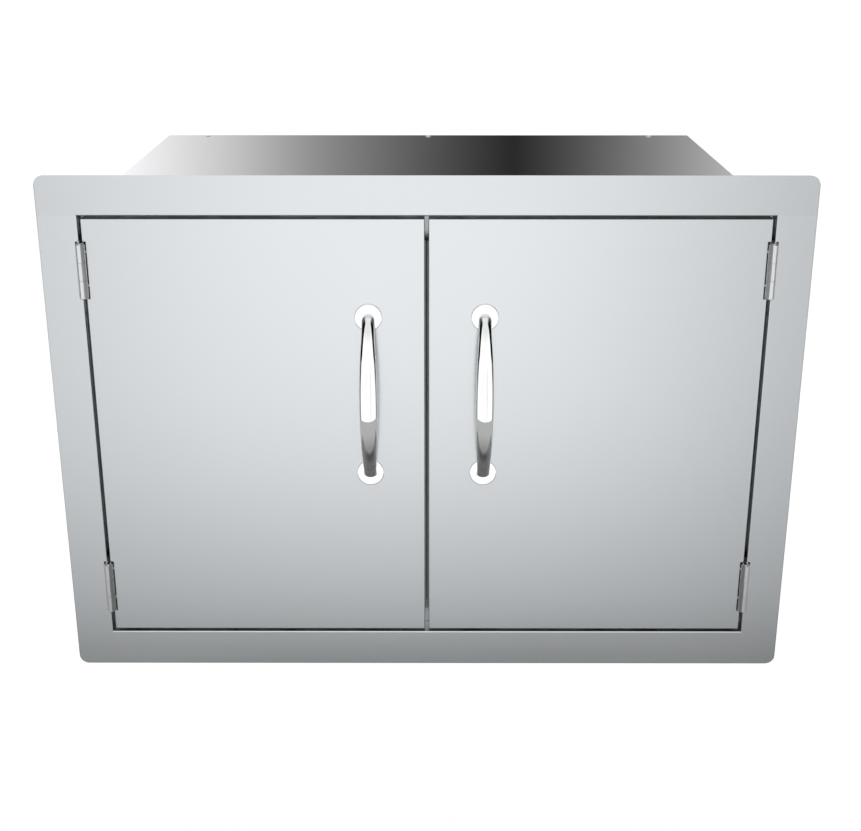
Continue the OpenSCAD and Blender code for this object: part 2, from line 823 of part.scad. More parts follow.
front_frame();
top_panel();
bottom_panel();
left_side_panel();
right_side_panel();
back_panel();
back_panel_rivets();
left_frame_gasket();
right_frame_gasket();
upper_catch_plate();
lower_catch_plate();
catch_magnets();
catch_screws();
shelf();
left_shelf_rail();
right_shelf_rail();
shelf_rail_rivets();
left_upper_frame_leaf();
left_lower_frame_leaf();
on_right() left_upper_frame_leaf();  // right_upper_frame_leaf
on_right() left_lower_frame_leaf();  // right_lower_frame_leaf
left_upper_hinge_pin();
left_lower_hinge_pin();
on_right() left_upper_hinge_pin();  // right_upper_hinge_pin
on_right() left_lower_hinge_pin();  // right_lower_hinge_pin
frame_leaf_rivets();
left_door_skin();
left_door_liner();
left_door_stiffener();
left_door_meeting_seal();
left_upper_door_leaf();
left_lower_door_leaf();
left_door_leaf_rivets();
left_strike_plates();
left_strike_screws();
left_handle_bow();
left_handle_rosettes();
left_handle_screws();
left_handle_washers();
left_access_plugs();
on_right() left_door_skin();  // right_door_skin
on_right() left_door_liner();  // right_door_liner
on_right() left_door_stiffener();  // right_door_stiffener
on_right() left_door_meeting_seal();  // right_door_meeting_seal
on_right() left_upper_door_leaf();  // right_upper_door_leaf
on_right() left_lower_door_leaf();  // right_lower_door_leaf
on_right() left_door_leaf_rivets();  // right_door_leaf_rivets
on_right() left_strike_plates();  // right_strike_plates
on_right() left_strike_screws();  // right_strike_screws
on_right() left_handle_bow();  // right_handle_bow
on_right() left_handle_rosettes();  // right_handle_rosettes
on_right() left_handle_screws();  // right_handle_screws
on_right() left_handle_washers();  // right_handle_washers
on_right() left_access_plugs();  // right_access_plugs
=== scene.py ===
# Built-in double door dry storage pantry for an outdoor kitchen island, in metres.
# X runs right, Y into the island and Z up, from the centre of the flange's back face.
import json
import math

import bmesh
import bpy
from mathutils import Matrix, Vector

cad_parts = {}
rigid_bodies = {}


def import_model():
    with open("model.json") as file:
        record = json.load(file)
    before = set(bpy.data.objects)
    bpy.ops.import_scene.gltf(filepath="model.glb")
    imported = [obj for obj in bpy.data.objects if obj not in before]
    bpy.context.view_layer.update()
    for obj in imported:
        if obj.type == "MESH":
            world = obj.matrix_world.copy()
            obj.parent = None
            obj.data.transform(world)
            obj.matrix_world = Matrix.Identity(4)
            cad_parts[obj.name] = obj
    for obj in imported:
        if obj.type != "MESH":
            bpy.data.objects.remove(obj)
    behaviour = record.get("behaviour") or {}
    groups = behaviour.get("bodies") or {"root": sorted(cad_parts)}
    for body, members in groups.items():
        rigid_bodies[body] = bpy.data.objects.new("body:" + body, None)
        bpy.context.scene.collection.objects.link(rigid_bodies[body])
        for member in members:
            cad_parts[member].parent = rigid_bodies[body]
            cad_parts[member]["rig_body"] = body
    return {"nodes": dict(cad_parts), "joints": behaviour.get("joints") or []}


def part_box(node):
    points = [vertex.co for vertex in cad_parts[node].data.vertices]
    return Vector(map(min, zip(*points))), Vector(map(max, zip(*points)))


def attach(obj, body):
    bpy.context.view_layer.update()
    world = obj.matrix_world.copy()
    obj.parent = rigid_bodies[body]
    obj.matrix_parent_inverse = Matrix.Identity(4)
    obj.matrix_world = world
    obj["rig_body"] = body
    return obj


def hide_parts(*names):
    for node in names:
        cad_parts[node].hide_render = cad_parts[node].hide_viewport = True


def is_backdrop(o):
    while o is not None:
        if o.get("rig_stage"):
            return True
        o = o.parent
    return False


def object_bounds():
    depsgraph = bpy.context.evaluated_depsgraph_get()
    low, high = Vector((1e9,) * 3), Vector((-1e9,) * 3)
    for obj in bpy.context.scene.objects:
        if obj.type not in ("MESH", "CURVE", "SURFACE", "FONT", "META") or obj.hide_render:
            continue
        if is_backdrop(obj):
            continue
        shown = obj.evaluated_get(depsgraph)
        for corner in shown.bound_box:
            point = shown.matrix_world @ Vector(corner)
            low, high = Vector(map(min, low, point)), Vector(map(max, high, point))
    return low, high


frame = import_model()
nodes = frame["nodes"]
cad_low, cad_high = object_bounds()

# Camera: a little over a metre in front of the doors and half a metre above their middle,
# looking down on them. The lens is shifted, because the picture was cut from a taller one.
PICTURE_W = 861
PICTURE_H = 831
FOCAL_PX = 1418.8
CENTRE_PX = (429.2, 458.8)
SENSOR_W = 36.0
NEAREST = 0.05
EYE = (0.0059, -1.3772, 0.5018)
LOOK_DOWN = 20.99
LOOK_LEFT = 0.14
camera_data = bpy.data.cameras.new("camera")
camera_data.sensor_width = SENSOR_W
camera_data.lens = FOCAL_PX * SENSOR_W / PICTURE_W
camera_data.shift_x = (PICTURE_W / 2 - CENTRE_PX[0]) / PICTURE_W
camera_data.shift_y = (CENTRE_PX[1] - PICTURE_H / 2) / PICTURE_W
camera_data.clip_start = NEAREST
camera = bpy.data.objects.new("camera", camera_data)
camera.location = EYE
camera.rotation_euler = (math.radians(90 - LOOK_DOWN), 0, math.radians(LOOK_LEFT))
bpy.context.scene.collection.objects.link(camera)
bpy.context.scene.camera = camera
bpy.context.scene.view_settings.view_transform = "Standard"


# Studio: a white tent, open in a dark strip behind the cabinet and at both its sides, so that
# the sheet shows a gradient and the polished handles get dark outlines.
class Recipe:
    """Adds shader nodes to one tree and joins them up."""

    def __init__(self, tree):
        self.tree = tree
        tree.nodes.clear()

    def add(self, kind, settings=None, **inputs):
        """A node, with its settings, and its inputs joined or set by name or by place."""
        made = self.tree.nodes.new(kind)
        for key, value in (settings or {}).items():
            setattr(made, key, value)
        for key, value in inputs.items():
            place = int(key[1:]) if key[1:].isdigit() else key.replace("_", " ")
            self.join(made.inputs[place], value)
        return made

    def join(self, socket, value):
        """Links a socket to another one, or sets it to a plain value."""
        if isinstance(value, bpy.types.NodeSocket):
            self.tree.links.new(value, socket)
        else:
            socket.default_value = value

    def where(self, kind="Object"):
        """The place of a point on its piece, or the direction of a ray in the world."""
        return self.add("ShaderNodeTexCoord").outputs[kind]

    def split(self, vector):
        """The three numbers of a vector."""
        return self.add("ShaderNodeSeparateXYZ", i0=vector).outputs

    def calc(self, operation, a, b=0.0):
        """One step of arithmetic on numbers."""
        return self.add("ShaderNodeMath", {"operation": operation}, i0=a, i1=b).outputs[0]

    def times(self, first, *others):
        """The product of two numbers or more."""
        for other in others:
            first = self.calc("MULTIPLY", first, other)
        return first

    def ramp(self, value, low, high, start=0.0, end=1.0, soft=True):
        """A number that goes from start to end as value goes from low to high."""
        kind = {"interpolation_type": "SMOOTHSTEP" if soft else "LINEAR"}
        return self.add("ShaderNodeMapRange", kind, Value=value, From_Min=low, From_Max=high,
                        To_Min=start, To_Max=end).outputs[0]

    def mix(self, share, a, b):
        """The number a where share is 0, and b where it is 1."""
        return self.add("ShaderNodeMix", {"data_type": "FLOAT"}, i0=share, i2=a, i3=b).outputs[0]


# The light depends on direction alone: a slope is x over y, and a rise is z. A row of four
# numbers is a ramp, as where it starts and ends and its two values.
TENT = 1.09
LEAST_Y = 0.02
BACK_ONLY = (0.0, 0.1)
BACK_TOP = (0.35, 0.75, 1.0, 0.0)
DARK_SLOPE = 0.0565
DARK_TONE = 0.181
BRIGHT_TONE = 1.04
TONE_PER_SLOPE_RIGHT = 3.6
TONE_PER_SLOPE_LEFT = -2.92
LEFT_STEP = (-0.122, -0.211, 0.0, 0.057)
TONE_TO_LIGHT = 2.2
FRONT_ONLY = (0.05, 0.15, 1.0, 0.0)
FALL_RIGHT = 1.2
FALL_LEFT = (-0.28, -0.2, 3.3, 2.2)
FALL_SIDES = (0.27, 0.4, 1.0, 0.0)
FALL_TOP = (-0.05, 0.2, 1.0, 0.0)
LOW_LIGHT = (-0.2, -0.36, 1.0, 1.09)
HIGH_LIGHT = (0.4, 0.8, 1.0, 0.77)
GAP_LIGHT = (-0.26, -0.06, 0.3, 0.004)
GAP_SLOPE = (0.2, 0.0, math.tan(math.radians(58)), math.tan(math.radians(66)))
GAP_BLUR = (0.96, 1.04)
GAP_TOP = (0.8, 0.95, 1.0, 0.0)
surround = bpy.data.worlds.new("white tent")
surround.use_nodes = True
bpy.context.scene.world = surround
r = Recipe(surround.node_tree)
across, ahead, rise = r.split(r.where("Generated"))
back_slope = r.calc("DIVIDE", across, r.calc("MAXIMUM", ahead, LEAST_Y))
off_dark = r.calc("SUBTRACT", back_slope, DARK_SLOPE)
back_tone = r.calc("MAXIMUM", r.times(off_dark, TONE_PER_SLOPE_RIGHT),
                   r.times(off_dark, TONE_PER_SLOPE_LEFT))
back_tone = r.calc("ADD", back_tone, r.ramp(off_dark, *LEFT_STEP))
back_tone = r.calc("MINIMUM", r.calc("ADD", back_tone, DARK_TONE), BRIGHT_TONE)
back_light = r.calc("POWER", back_tone, TONE_TO_LIGHT)
back_share = r.times(r.ramp(ahead, *BACK_ONLY), r.ramp(rise, *BACK_TOP))
front_slope = r.calc("DIVIDE", across, r.calc("MAXIMUM", r.times(ahead, -1.0), LEAST_Y))
front_off = r.calc("ABSOLUTE", front_slope)
fall = r.mix(r.calc("GREATER_THAN", front_slope, 0.0), FALL_RIGHT, r.ramp(rise, *FALL_LEFT))
side_fall = r.times(front_slope, front_slope, fall, r.ramp(front_off, *FALL_SIDES),
                    r.ramp(rise, *FALL_TOP))
front_light = r.times(r.calc("SUBTRACT", 1.0, side_fall), TENT, r.ramp(rise, *LOW_LIGHT),
                      r.ramp(rise, *HIGH_LIGHT))
gap_share = r.ramp(r.calc("DIVIDE", front_off, r.ramp(rise, *GAP_SLOPE)), *GAP_BLUR)
gap_share = r.times(gap_share, r.ramp(rise, *GAP_TOP))
front_light = r.mix(gap_share, front_light, r.ramp(rise, *GAP_LIGHT))
level = r.mix(back_share, TENT, back_light)
level = r.mix(r.ramp(ahead, *FRONT_ONLY), level, front_light)
shell = r.add("ShaderNodeBackground", Color=(1.0, 1.0, 1.0, 1.0), Strength=level)
r.add("ShaderNodeOutputWorld", Surface=shell.outputs[0])


# Floor: a pale sweep far below the cabinet, which hangs where the island would hold it.
# It is shaded in front, and its round front edge draws the line across the handles.
def new_piece(name, points, faces):
    """A piece made of points and faces, in place, with its object at the origin."""
    mesh = bpy.data.meshes.new(name)
    mesh.from_pydata([tuple(p) for p in points], [], faces)
    mesh.update()
    piece = bpy.data.objects.new(name, mesh)
    bpy.context.scene.collection.objects.link(piece)
    return piece


FLOOR_Z = -1.2
FLOOR_FRONT = 2.62
FLOOR_SIDE = 2.95
FLOOR_REACH = 40.0
FLOOR_STEPS = 64
NEAR_SHADE = (0.5, 1.3, 0.18, 0.42)
FAR_BAND = (1.2, 1.9)
FAR_SHADE = 0.555
BACK_BAND = (0.1, 0.95)
BACK_SHADE = 0.96
BACK_GLOW = 0.26
rim = [(-FLOOR_SIDE * math.cos(math.pi * i / FLOOR_STEPS),
        -FLOOR_FRONT * math.sin(math.pi * i / FLOOR_STEPS), FLOOR_Z)
       for i in range(FLOOR_STEPS + 1)]
rim += [(FLOOR_REACH, 0, FLOOR_Z), (FLOOR_REACH, FLOOR_REACH, FLOOR_Z),
        (-FLOOR_REACH, FLOOR_REACH, FLOOR_Z), (-FLOOR_REACH, 0, FLOOR_Z)]
floor = new_piece("floor", rim, [tuple(range(len(rim)))])
sweep = bpy.data.materials.new("pale sweep")
sweep.use_nodes = True
r = Recipe(sweep.node_tree)
x, y, _ = r.split(r.where())
flat = r.add("ShaderNodeCombineXYZ", i0=x, i1=y, i2=0.0).outputs[0]
out = r.add("ShaderNodeVectorMath", {"operation": "LENGTH"}, i0=flat).outputs["Value"]
shade = r.ramp(out, *NEAR_SHADE, soft=False)
shade = r.mix(r.ramp(out, *FAR_BAND), shade, FAR_SHADE)
back = r.ramp(y, *BACK_BAND)
shade = r.mix(back, shade, BACK_SHADE)
paper = r.add("ShaderNodeBsdfDiffuse", Color=shade)
ray = r.add("ShaderNodeLightPath").outputs
seen = r.calc("MAXIMUM", ray["Is Camera Ray"], ray["Is Glossy Ray"])
seen = r.calc("MAXIMUM", seen, ray["Is Transmission Ray"])
glow = r.add("ShaderNodeEmission", Strength=r.times(seen, back, BACK_GLOW))
lit = r.add("ShaderNodeAddShader", i0=paper.outputs[0], i1=glow.outputs[0])
r.add("ShaderNodeOutputMaterial", Surface=lit.outputs[0])
floor.data.materials.append(sweep)
floor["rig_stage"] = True


# Flag: a dark card under the front of the cabinet and out of the picture. The foot of the
# flange and the lower ends of the handles show it.
FLAG_Z = -0.42
FLAG_X = 0.7
FLAG_FRONT = -0.38
FLAG_BACK = -0.04
SIDEWAYS_SHADE = (0.12, 0.45, 0.115, 0.27)
FRONT_BAND = (FLAG_FRONT, -0.28)
FRONT_SHADE = 0.38
REAR_BAND = (-0.26, -0.14)
REAR_SHADE = 0.22
FIBRE_SCALE = 60.0
FIBRE_DETAIL = 3.0
FIBRE_SHADE = (0.9, 1.1)
NOISE_BAND = (0.3, 0.7)
flag = new_piece("flag", [
    (-FLAG_X, FLAG_FRONT, FLAG_Z), (FLAG_X, FLAG_FRONT, FLAG_Z),
    (FLAG_X, FLAG_BACK, FLAG_Z), (-FLAG_X, FLAG_BACK, FLAG_Z),
], [(0, 1, 2, 3)])
flag.visible_camera = False
card = bpy.data.materials.new("dark card")
card.use_nodes = True
r = Recipe(card.node_tree)
place = r.where()
fibre = r.add("ShaderNodeTexNoise", Vector=place, Scale=FIBRE_SCALE, Detail=FIBRE_DETAIL)
x, y, _ = r.split(place)
shade = r.ramp(r.calc("ABSOLUTE", x), *SIDEWAYS_SHADE)
shade = r.mix(r.ramp(y, *FRONT_BAND), FRONT_SHADE, shade)
shade = r.mix(r.ramp(y, *REAR_BAND), shade, REAR_SHADE)
shade = r.times(shade, r.ramp(fibre.outputs[0], *NOISE_BAND, *FIBRE_SHADE))
paper = r.add("ShaderNodeBsdfDiffuse", Color=shade)
r.add("ShaderNodeOutputMaterial", Surface=paper.outputs[0])
flag.data.materials.append(card)
flag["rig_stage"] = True


# Box: top, bottom, sides and back of 1.2 mm cold rolled stainless sheet, folded and riveted.
# It keeps the mill's smooth grey finish, with a slight wave in the flat of each panel.
SHEET = 0.0012
BOX_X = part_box("right_side_panel")[1].x
BOX_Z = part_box("top_panel")[1].z
CLOUD_SCALE = 6.0
CLOUD_SHADE = (0.992, 1.0)
SCRATCH_DEPTH = 0.00001
SCRATCH_SHOWN = 0.15
WAVE_DEPTH = 0.002
# The place across the width where the painted side shade is nil.
UNSHADED_X = -0.03
ABOVE_BLUR = 0.001
GRAIN_DETAIL = 4.0
GRAIN_BREAKUP = 0.75
CLOUD_DETAIL = 2.0
BLUR_SPREAD = 0.1


def metal(name, tint, blur, grain=0.0, pitch=900.0, along=3.0, across=2, smear=0.0,
          wave=0.0, painted_side_shade=0.0, painted_shade_bands=(), inner_blur=0.0):
    """Stainless steel whose grain lines lie along the sheet and vary across one axis.

    dulling is painted shade: it darkens the steel with the square of the distance from the
    cabinet's middle. Each row of duller is a band of painted shade: an axis, where on it the
    darker place begins and is full, on X to both sides, the tone left there, and the height
    above which alone it lies, or None. inner_blur roughens the inside of the box.
    """
    made = bpy.data.materials.new(name)
    made.use_nodes = True
    r = Recipe(made.node_tree)
    place = r.where()
    x, y, z = r.split(place)
    far_x = r.calc("ABSOLUTE", x)
    stretch = [along, along, along]
    stretch[across] = pitch
    stretched = r.add("ShaderNodeMapping", Vector=place, Scale=stretch).outputs[0]
    lines = r.add("ShaderNodeTexNoise", Vector=stretched, Scale=1.0, Detail=GRAIN_DETAIL,
                  Roughness=GRAIN_BREAKUP).outputs[0]
    clouds = r.add("ShaderNodeTexNoise", Vector=place, Scale=CLOUD_SCALE,
                   Detail=CLOUD_DETAIL).outputs[0]
    tone = r.times(r.ramp(lines, *NOISE_BAND, 1.0 - grain, 1.0 + 0.5 * grain, soft=False),
                   r.ramp(clouds, *NOISE_BAND, *CLOUD_SHADE))
    # Painted shade: darker towards both ends across the width, with the square of the distance.
    if painted_side_shade:
        off = r.calc("SUBTRACT", x, UNSHADED_X)
        tone = r.times(tone, r.calc("SUBTRACT", 1.0, r.times(off, off, painted_side_shade)))
    # Painted shade in bands, each darker where its ramp is full.
    for axis, low, high, left, above in painted_shade_bands:
        share = r.ramp((far_x, y, z)[axis], low, high)
        if above is not None:
            share = r.times(share, r.ramp(z, above - ABOVE_BLUR, above))
        tone = r.times(tone, r.mix(share, 1.0, left))
    colour = r.add("ShaderNodeMix", {"data_type": "RGBA", "blend_type": "MULTIPLY"},
                   i0=1.0, i6=(*tint, 1.0), i7=tone)
    rough = r.ramp(lines, *NOISE_BAND, blur * (1.0 - BLUR_SPREAD), blur * (1.0 + BLUR_SPREAD),
                   soft=False)
    if inner_blur:
        outside = r.calc("MAXIMUM", r.calc("GREATER_THAN", far_x, BOX_X - SHEET / 2),
                         r.calc("GREATER_THAN", r.calc("ABSOLUTE", z), BOX_Z - SHEET / 2))
        outside = r.calc("MAXIMUM", outside, r.calc("GREATER_THAN", y, cad_high.y - SHEET / 2))
        rough = r.mix(outside, inner_blur, rough)
    face = r.add("ShaderNodeBump", Strength=SCRATCH_SHOWN, Distance=SCRATCH_DEPTH,
                 Height=lines).outputs[0]
    if wave:
        face = r.add("ShaderNodeBump", Strength=wave, Distance=WAVE_DEPTH, Height=clouds,
                     Normal=face).outputs[0]
    body = r.add("ShaderNodeBsdfPrincipled", Base_Color=colour.outputs[2], Metallic=1.0,
                 Roughness=rough, Normal=face, Anisotropic=smear)
    if smear:
        upright = [0.0, 0.0, 0.0]
        upright[across] = 1.0
        turn = r.add("ShaderNodeVectorTransform", {
            "vector_type": "VECTOR", "convert_from": "OBJECT", "convert_to": "WORLD"},
            Vector=upright)
        r.join(body.inputs["Tangent"], turn.outputs[0])
    r.add("ShaderNodeOutputMaterial", Surface=body.outputs[0])
    return made


def finish(piece, material, body=None, stands_for=()):
    """Gives a piece its only material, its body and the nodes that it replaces."""
    piece.data.materials.clear()
    piece.data.materials.append(material)
    if body:
        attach(piece, body)
    if stands_for:
        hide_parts(*stands_for)


mill_sheet = metal("cold rolled sheet", tint=(0.80, 0.795, 0.82), blur=0.09, grain=0.012,
                   pitch=700.0, across=0, wave=0.03, inner_blur=0.38)
for panel in ("top_panel", "bottom_panel", "left_side_panel", "right_side_panel",
              "back_panel"):
    finish(nodes[panel], mill_sheet)


# Blind rivets: 3.2 mm steel rivets with low round heads and the broken pin in the middle.
# They hold the back panel's folds and the shelf rails to the box.
WELD = 1e-6
RECESS_REACH = 1.05
FASTENER_DEG = 35


def turned_tree(name, profile, recess=False):
    """Geometry nodes that set a turned part, given as radius and height, on each point."""
    tree = bpy.data.node_groups.new(name, "GeometryNodeTree")
    face = tree.interface
    face.new_socket("Places", in_out="INPUT", socket_type="NodeSocketGeometry")
    sizes = {"Radius": 1.0, "Bottom": 0.0, "Top": 1.0, "Sides": 24, "Recess width": 0.0,
             "Recess depth": 0.0}
    for size, value in sizes.items():
        kind = "NodeSocketInt" if size == "Sides" else "NodeSocketFloat"
        face.new_socket(size, in_out="INPUT", socket_type=kind).default_value = value
    face.new_socket("Finish", in_out="INPUT", socket_type="NodeSocketMaterial")
    face.new_socket("Parts", in_out="OUTPUT", socket_type="NodeSocketGeometry")
    r = Recipe(tree)
    given = r.add("NodeGroupInput").outputs
    sheet = r.add("GeometryNodeMeshGrid", Size_X=1.0, Size_Y=1.0,
                  Vertices_X=r.calc("ADD", given["Sides"], 1.0), Vertices_Y=len(profile))
    x, y, _ = r.split(r.add("GeometryNodeInputPosition").outputs[0])
    turn = r.times(x, math.tau)
    along = r.calc("ADD", y, 0.5)
    curves = []
    for which in (0, 1):
        curve = r.add("ShaderNodeFloatCurve", Value=along)
        line = curve.mapping.curves[0].points
        while len(line) < len(profile):
            line.new(0.5, 0.5)
        for i, row in enumerate(profile):
            line[i].location = (i / (len(profile) - 1), row[which])
            line[i].handle_type = "VECTOR"
        curve.mapping.update()
        curves.append(curve.outputs[0])
    out = r.times(curves[0], given["Radius"])
    height = r.mix(curves[1], given["Bottom"], given["Top"])
    spot = r.add("ShaderNodeCombineXYZ", i0=r.times(out, r.calc("COSINE", turn)),
                 i1=r.times(out, r.calc("SINE", turn)), i2=height)
    wound = r.add("GeometryNodeSetPosition", Geometry=sheet.outputs["Mesh"],
                  Position=spot.outputs[0])
    part = r.add("GeometryNodeMergeByDistance", Geometry=wound.outputs[0],
                 Distance=WELD).outputs[0]
    if recess:
        tall = r.times(given["Recess depth"], 2.0)
        wide = r.times(given["Radius"], RECESS_REACH)
        lift = r.add("ShaderNodeCombineXYZ", i0=0.0, i1=0.0, i2=given["Top"]).outputs[0]
        bars = r.add("GeometryNodeJoinGeometry")
        for size in ((wide, given["Recess width"]), (given["Recess width"], wide)):
            bar = r.add("GeometryNodeMeshCube", Size=r.add(
                "ShaderNodeCombineXYZ", i0=size[0], i1=size[1], i2=tall).outputs[0])
            lifted = r.add("GeometryNodeTransform", Geometry=bar.outputs[0], Translation=lift)
            tree.links.new(lifted.outputs[0], bars.inputs[0])
        cut = r.add("GeometryNodeMeshBoolean", {"operation": "DIFFERENCE",
                                                "solver": "MANIFOLD"})
        tree.links.new(part, cut.inputs["Mesh 1"])
        tree.links.new(bars.outputs[0], cut.inputs["Mesh 2"])
        part = cut.outputs[0]
    outward = r.add("GeometryNodeInputNamedAttribute", {"data_type": "FLOAT_VECTOR"},
                    Name="outward")
    facing = r.add("FunctionNodeAlignRotationToVector", {"axis": "Z"},
                   Vector=outward.outputs[0])
    placed = r.add("GeometryNodeInstanceOnPoints", Points=given["Places"], Instance=part,
                   Rotation=facing.outputs[0])
    real = r.add("GeometryNodeRealizeInstances", Geometry=placed.outputs[0])
    dressed = r.add("GeometryNodeSetMaterial", Geometry=real.outputs[0],
                    Material=given["Finish"])
    r.add("NodeGroupOutput", i0=dressed.outputs[0])
    return tree


def shade_by_angle(mesh, degrees):
    """Smooth shading, broken where two faces meet at more than this angle."""
    mesh.shade_smooth()
    mesh.set_sharp_from_angle(angle=math.radians(degrees))


def face_out(mesh):
    """Turns all faces of a closed mesh outwards."""
    shape = bmesh.new()
    shape.from_mesh(mesh)
    bmesh.ops.recalc_face_normals(shape, faces=shape.faces)
    shape.to_mesh(mesh)
    shape.free()


def set_parts(name, tree, places, sizes, material, body, stands_for):
    """One plain mesh of turned parts, each at a place and facing outward from it."""
    points = new_piece(name + "_places", [p for p, _ in places], [])
    outward = points.data.attributes.new("outward", "FLOAT_VECTOR", "POINT")
    outward.data.foreach_set("vector", [c for _, way in places for c in way])
    work = points.modifiers.new("parts", "NODES")
    work.node_group = tree
    for item in tree.interface.items_tree:
        if item.in_out == "INPUT" and item.name in sizes:
            work[item.identifier] = sizes[item.name]
        if item.in_out == "INPUT" and item.name == "Finish":
            work[item.identifier] = material
    bpy.context.view_layer.update()
    ready = points.evaluated_get(bpy.context.evaluated_depsgraph_get())
    mesh = bpy.data.meshes.new_from_object(ready)
    mesh.name = name
    bpy.data.objects.remove(points)
    face_out(mesh)
    shade_by_angle(mesh, FASTENER_DEG)
    piece = bpy.data.objects.new(name, mesh)
    bpy.context.scene.collection.objects.link(piece)
    finish(piece, material, body, stands_for)


RIVET_Y = 0.5232
REAR_RIVET_X = 0.2905
SIDE_RIVET_Z = 0.140
RAIL_RIVET_Y = (0.098, 0.287, 0.476)
RAIL_RIVET_Z = -0.0281
rivet_steel = metal("rivet steel", tint=(0.72, 0.72, 0.72), blur=0.24, grain=0.03,
                    pitch=1500.0, along=1500.0)
rivet_tree = turned_tree("blind rivet", [
    (0.0, 0.0), (0.55, 0.0), (0.70, 0.06), (0.74, 0.20), (0.70, 0.36), (0.5, 0.42),
    (0.5, 0.80), (0.97, 0.80), (1.0, 0.84), (0.97, 0.88), (0.85, 0.935), (0.66, 0.98),
    (0.48, 1.0), (0.36, 0.99), (0.30, 0.94), (0.30, 0.90), (0.26, 0.90), (0.25, 0.95),
    (0.18, 0.97), (0.0, 0.965),
])
rivet_sizes = {"Radius": 0.0032, "Bottom": -0.0047, "Top": 0.0012, "Sides": 28}
rear_rivets = [((x, RIVET_Y, s * BOX_Z), (0, 0, s))
               for x in (-REAR_RIVET_X, 0, REAR_RIVET_X) for s in (-1, 1)]
rear_rivets += [((s * BOX_X, RIVET_Y, z), (s, 0, 0))
                for z in (-SIDE_RIVET_Z, SIDE_RIVET_Z) for s in (-1, 1)]
set_parts("rear_rivets", rivet_tree, rear_rivets, rivet_sizes, rivet_steel, "cabinet",
          ["back_panel_rivets"])
rail_rivets = [((s * BOX_X, y, RAIL_RIVET_Z), (s, 0, 0))
               for y in RAIL_RIVET_Y for s in (-1, 1)]
set_parts("rail_rivets", rivet_tree, rail_rivets, rivet_sizes, rivet_steel, "cabinet",
          ["shelf_rail_rivets"])


# Front frame: flange, jambs and stop lip, folded from one brushed stainless sheet with its
# corners welded and dressed. The grain runs across the width, so reflections smear upright.
TOP_GAP_Z = 0.2238
# Painted shade on the frame: the top jamb inside the gap over the doors is left at 0.6, the top
# rail at 0.97 and the flange's side edges at 0.8.
top_jamb_shade = (1, 0.0005, 0.002, 0.6, TOP_GAP_Z)
top_rail_shade = (2, 0.2274, 0.2282, 0.97, None)
side_edge_shade = (0, 0.3800, 0.3804, 0.8, None)
# The steel of frame and doors carries painted shade: about a quarter darker at the right end and
# less at the left.
brushed = metal("brushed stainless", tint=(0.765, 0.795, 0.815), blur=0.23, grain=0.025,
                pitch=1300.0, along=2.5, smear=0.75, painted_side_shade=1.45,
                painted_shade_bands=[top_jamb_shade, top_rail_shade, side_edge_shade])
finish(nodes["front_frame"], brushed)


# Shelf and rails: a loose tray folded from dull sheet, which rests on two angles riveted to
# the box sides. All their edges are deburred.
SAME_POINT = 2e-6
FLAT_DEG = 0.5
SHARP_DEG = 40


def eased(node, material, edge, steps=2, first=None, first_edge=0.0, first_steps=6,
          moved=None):
    """The node's own sheet or block with its sharp edges rounded, standing for the node.

    moved shifts the points before that, and the edges that first chooses are rounded by
    first_edge before all others.
    """
    source = nodes[node]
    mesh = source.data.copy()
    piece = bpy.data.objects.new(node + "_eased", mesh)
    bpy.context.scene.collection.objects.link(piece)
    shape = bmesh.new()
    shape.from_mesh(mesh)
    bmesh.ops.remove_doubles(shape, verts=shape.verts, dist=SAME_POINT)
    if moved:
        for v in shape.verts:
            v.co = moved(v.co)
    bmesh.ops.dissolve_limit(shape, angle_limit=math.radians(FLAT_DEG), verts=shape.verts,
                             edges=shape.edges)
    for offset, segments, chosen in ((first_edge, first_steps, first), (edge, steps, None)):
        sharp = [e for e in shape.edges if e.is_manifold
                 and e.calc_face_angle(0.0) > math.radians(SHARP_DEG)
                 and (chosen is None or all(chosen(v.co) for v in e.verts))]
        if offset and sharp:
            bmesh.ops.bevel(shape, geom=sharp, offset=offset, segments=segments, profile=0.5,
                            affect="EDGES", clamp_overlap=True)
    shape.to_mesh(mesh)
    shape.free()
    if mesh.has_custom_normals:
        mesh.attributes.remove(mesh.attributes["custom_normal"])
    shade_by_angle(mesh, SHARP_DEG)
    flats = piece.modifiers.new("flat faces", "WEIGHTED_NORMAL")
    flats.keep_sharp = True
    flats.weight = 100
    finish(piece, material, source["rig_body"], [node])


dull_sheet = metal("dull sheet", tint=(0.66, 0.67, 0.68), blur=0.30, grain=0.02, pitch=500.0,
                   across=1, smear=0.4)
eased("shelf", dull_sheet, edge=0.0008)
for side in ("left", "right"):
    eased(side + "_shelf_rail", dull_sheet, edge=0.0004)


# Frame seal: black rubber with a flat foot and a bulb, glued on the stop lip in two halves,
# each a C that ends at the catch plates.
SPECK_DETAIL = 4.0
SPECK_SHADE = (0.7, 1.35)
SPECK_BLUR = (0.45, 0.65)
SPECK_DEPTH = 0.00005
SPECK_SHOWN = 0.2


def rubber(name, tint, speck):
    """Matt black rubber with a fine speckle and a slight sheen."""
    made = bpy.data.materials.new(name)
    made.use_nodes = True
    r = Recipe(made.node_tree)
    dust = r.add("ShaderNodeTexNoise", Vector=r.where(), Scale=speck,
                 Detail=SPECK_DETAIL).outputs[0]
    tone = r.ramp(dust, *NOISE_BAND, *SPECK_SHADE, soft=False)
    colour = r.add("ShaderNodeMix", {"data_type": "RGBA", "blend_type": "MULTIPLY"},
                   i0=1.0, i6=(*tint, 1.0), i7=tone)
    rough = r.ramp(dust, *NOISE_BAND, *SPECK_BLUR, soft=False)
    skin = r.add("ShaderNodeBump", Strength=SPECK_SHOWN, Distance=SPECK_DEPTH, Height=dust)
    body = r.add("ShaderNodeBsdfPrincipled", Base_Color=colour.outputs[2], Roughness=rough,
                 Normal=skin.outputs[0])
    r.add("ShaderNodeOutputMaterial", Surface=body.outputs[0])
    return made


